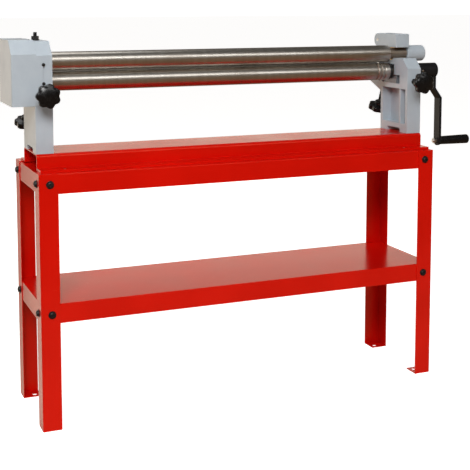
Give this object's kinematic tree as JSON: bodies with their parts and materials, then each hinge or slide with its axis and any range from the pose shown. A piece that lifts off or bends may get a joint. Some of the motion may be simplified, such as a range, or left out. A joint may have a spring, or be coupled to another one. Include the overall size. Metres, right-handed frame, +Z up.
{
  "type": "slip roll machine",
  "caption": "Hand-cranked slip roll on a bolted sheet-metal stand: geared front rolls, an adjustable rear bending roll, star-knob adjusters and a keeper that frees the upper roll.",
  "frame": {"origin": "at floor level, centre of the rectangle of foot bolt holes", "axes": "+X along the rolls towards the crank, +Y from the operator's side to the rear, +Z up"},
  "size_m": [1.4208, 0.3222, 1.0035],
  "materials": {
    "red_paint": "gloss powder coat, signal red",
    "grey_casting": "satin paint over cast iron, light bluish grey",
    "grey_sheet": "satin paint over sheet steel, light bluish grey",
    "ground_steel": "ground and polished roll",
    "bright_steel": "machined steel",
    "black_steel": "black oxide",
    "black_paint": "gloss black paint",
    "black_plastic": "glossy moulded plastic",
    "bronze": "machined bearing bronze"
  },
  "bodies": {
    "stand": {"front_left_leg": "red_paint", "front_right_leg": "red_paint", "rear_left_leg": "red_paint", "rear_right_leg": "red_paint", "foot_plates": "red_paint", "front_top_rail": "red_paint", "rear_top_rail": "red_paint", "left_top_rail": "red_paint", "right_top_rail": "red_paint", "shelf": "red_paint", "bed": "red_paint", "stand_bolts": "black_steel", "stand_nuts": "black_steel", "bed_bolts": "black_steel", "housing_bolts": "black_steel", "gear_cover_screws": "black_steel", "set_screw": "black_steel", "set_screw_locknut": "black_steel", "set_screw_washer": "black_steel", "left_housing": "grey_casting", "right_housing": "grey_casting", "gear_cover": "grey_sheet", "upper_left_bush": "bronze", "upper_right_bush": "bronze", "keeper_pin": "bright_steel"},
    "keeper": {"keeper": "grey_casting", "keeper_pad": "bronze"},
    "lower_carriage": {"lower_left_block": "bright_steel", "lower_right_block": "bright_steel"},
    "lower_roll": {"lower_roll": "ground_steel", "lower_thrust_collars": "black_steel", "lower_gear": "bright_steel", "lower_gear_key": "bright_steel", "lower_gear_screw": "bright_steel", "crank_hub": "black_paint", "crank_pin": "bright_steel", "crank_arm": "black_paint", "grip_spindle": "bright_steel", "grip_nut": "bright_steel"},
    "crank_grip": {"crank_grip": "black_plastic"},
    "upper_roll": {"upper_roll": "ground_steel", "roll_end_cap": "grey_casting", "upper_gear": "bright_steel", "upper_gear_key": "bright_steel", "upper_gear_screw": "bright_steel"},
    "left_front_adjuster": {"left_front_screw": "black_steel", "left_front_knob": "black_plastic"},
    "right_front_adjuster": {"right_front_screw": "black_steel", "right_front_knob": "black_plastic"},
    "left_wedge": {"left_wedge": "bright_steel"},
    "right_wedge": {"right_wedge": "bright_steel"},
    "left_rear_adjuster": {"left_rear_screw": "black_steel", "left_rear_knob": "black_plastic"},
    "right_rear_adjuster": {"right_rear_screw": "black_steel", "right_rear_knob": "black_plastic"},
    "rear_carriage": {"rear_left_block": "bright_steel", "rear_right_block": "bright_steel"},
    "rear_roll": {"rear_roll": "ground_steel"}
  },
  "joints": [
    {"name": "keeper_hinge", "type": "hinge", "parent": "stand", "child": "keeper", "pos_m": [0.5475, 0.1, 0.9655], "axis": [-1, 0, 0], "range_deg": [0, 110]},
    {"name": "left_front_knob_turn", "type": "hinge", "parent": "stand", "child": "left_front_adjuster", "pos_m": [-0.5375, -0.1, 0.849], "axis": [0, 1, 0], "range_deg": [-3600.01, 2640.01]},
    {"name": "right_front_knob_turn", "type": "hinge", "parent": "stand", "child": "right_front_adjuster", "pos_m": [0.5475, -0.1, 0.849], "axis": [0, 1, 0], "range_deg": [-3600.01, 2640.01]},
    {"name": "left_wedge_slide", "type": "slide", "parent": "stand", "child": "left_wedge", "axis": [0, 1, 0], "range_m": [-0.015, 0.011]},
    {"name": "right_wedge_slide", "type": "slide", "parent": "stand", "child": "right_wedge", "axis": [0, 1, 0], "range_m": [-0.015, 0.011]},
    {"name": "lower_roll_lift", "type": "slide", "parent": "stand", "child": "lower_carriage", "axis": [0, 0, 1], "range_m": [-0.003, 0.0022]},
    {"name": "lower_roll_turn", "type": "hinge", "parent": "lower_carriage", "child": "lower_roll", "pos_m": [0, 0.02, 0.8745], "axis": [1, 0, 0], "continuous": true},
    {"name": "crank_grip_turn", "type": "hinge", "parent": "lower_roll", "child": "crank_grip", "pos_m": [0.75, 0.02, 0.6575], "axis": [1, 0, 0], "continuous": true},
    {"name": "upper_roll_turn", "type": "hinge", "parent": "stand", "child": "upper_roll", "pos_m": [0, 0.02, 0.927], "axis": [1, 0, 0], "continuous": true},
    {"name": "left_rear_knob_turn", "type": "hinge", "parent": "stand", "child": "left_rear_adjuster", "pos_m": [-0.542, 0.087, 0.8745], "axis": [0, -0.3746, 0.9272], "range_deg": [-720.01, 4320.01]},
    {"name": "right_rear_knob_turn", "type": "hinge", "parent": "stand", "child": "right_rear_adjuster", "pos_m": [0.552, 0.087, 0.8745], "axis": [0, -0.3746, 0.9272], "range_deg": [-720.01, 4320.01]},
    {"name": "rear_roll_lift", "type": "slide", "parent": "stand", "child": "rear_carriage", "axis": [0, -0.3746, 0.9272], "range_m": [-0.006, 0.036]},
    {"name": "rear_roll_turn", "type": "hinge", "parent": "rear_carriage", "child": "rear_roll", "pos_m": [0, 0.087, 0.8745], "axis": [1, 0, 0], "continuous": true}
  ],
  "couplings": [
    {"joint": "left_front_knob_turn", "follows": "lower_roll_lift", "rad_per_m": 20944},
    {"joint": "right_front_knob_turn", "follows": "lower_roll_lift", "rad_per_m": 20944},
    {"joint": "left_wedge_slide", "follows": "lower_roll_lift", "ratio": 5},
    {"joint": "right_wedge_slide", "follows": "lower_roll_lift", "ratio": 5},
    {"joint": "upper_roll_turn", "follows": "lower_roll_turn", "ratio": -1},
    {"joint": "left_rear_knob_turn", "follows": "rear_roll_lift", "rad_per_m": 2094.4},
    {"joint": "right_rear_knob_turn", "follows": "rear_roll_lift", "rad_per_m": 2094.4}
  ]
}
